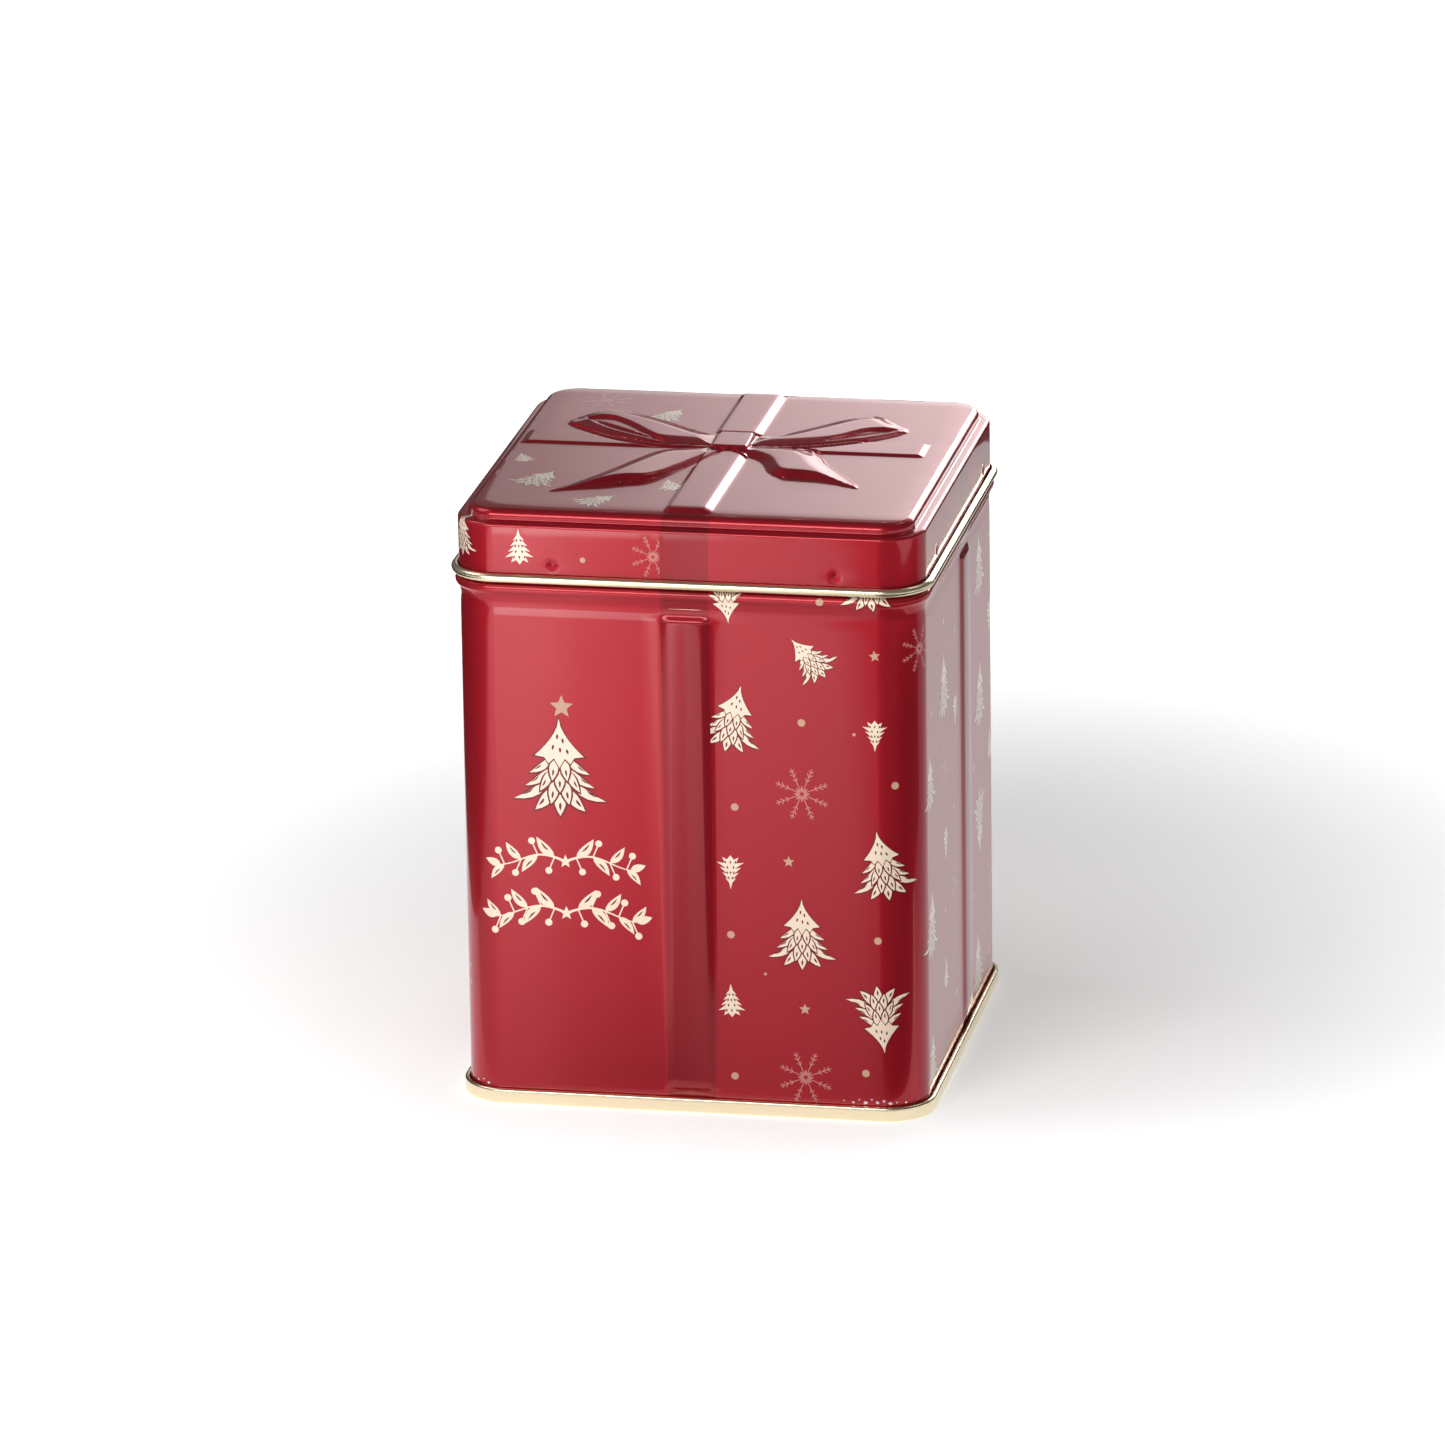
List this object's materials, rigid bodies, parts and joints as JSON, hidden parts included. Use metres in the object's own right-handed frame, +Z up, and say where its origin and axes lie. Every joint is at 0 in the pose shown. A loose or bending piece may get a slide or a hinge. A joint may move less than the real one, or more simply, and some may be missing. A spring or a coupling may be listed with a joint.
{
  "type": "square gift tin",
  "caption": "Square pressed-tinplate gift tin with a stepped slip lid, embossed ribbons and bow, curled bead and double-seamed base.",
  "frame": {"origin": "middle of the tin's footprint, on the surface that it stands on", "axes": "+Z up, front face towards -Y, +X to the right"},
  "size_m": [0.0932, 0.0932, 0.1202],
  "materials": {
    "red_lacquer": "gloss printed lacquer over tinplate, with cream and tan print",
    "gold_lacquer": "clear gold lacquer over tinplate"
  },
  "bodies": {
    "tin": {"body_wall": "red_lacquer", "base_panel": "gold_lacquer"},
    "lid": {"lid": "red_lacquer"}
  },
  "joints": [
    {"name": "lid_lift", "type": "slide", "parent": "tin", "child": "lid", "axis": [0, 0, 1], "range_m": [0, 0.05]}
  ]
}
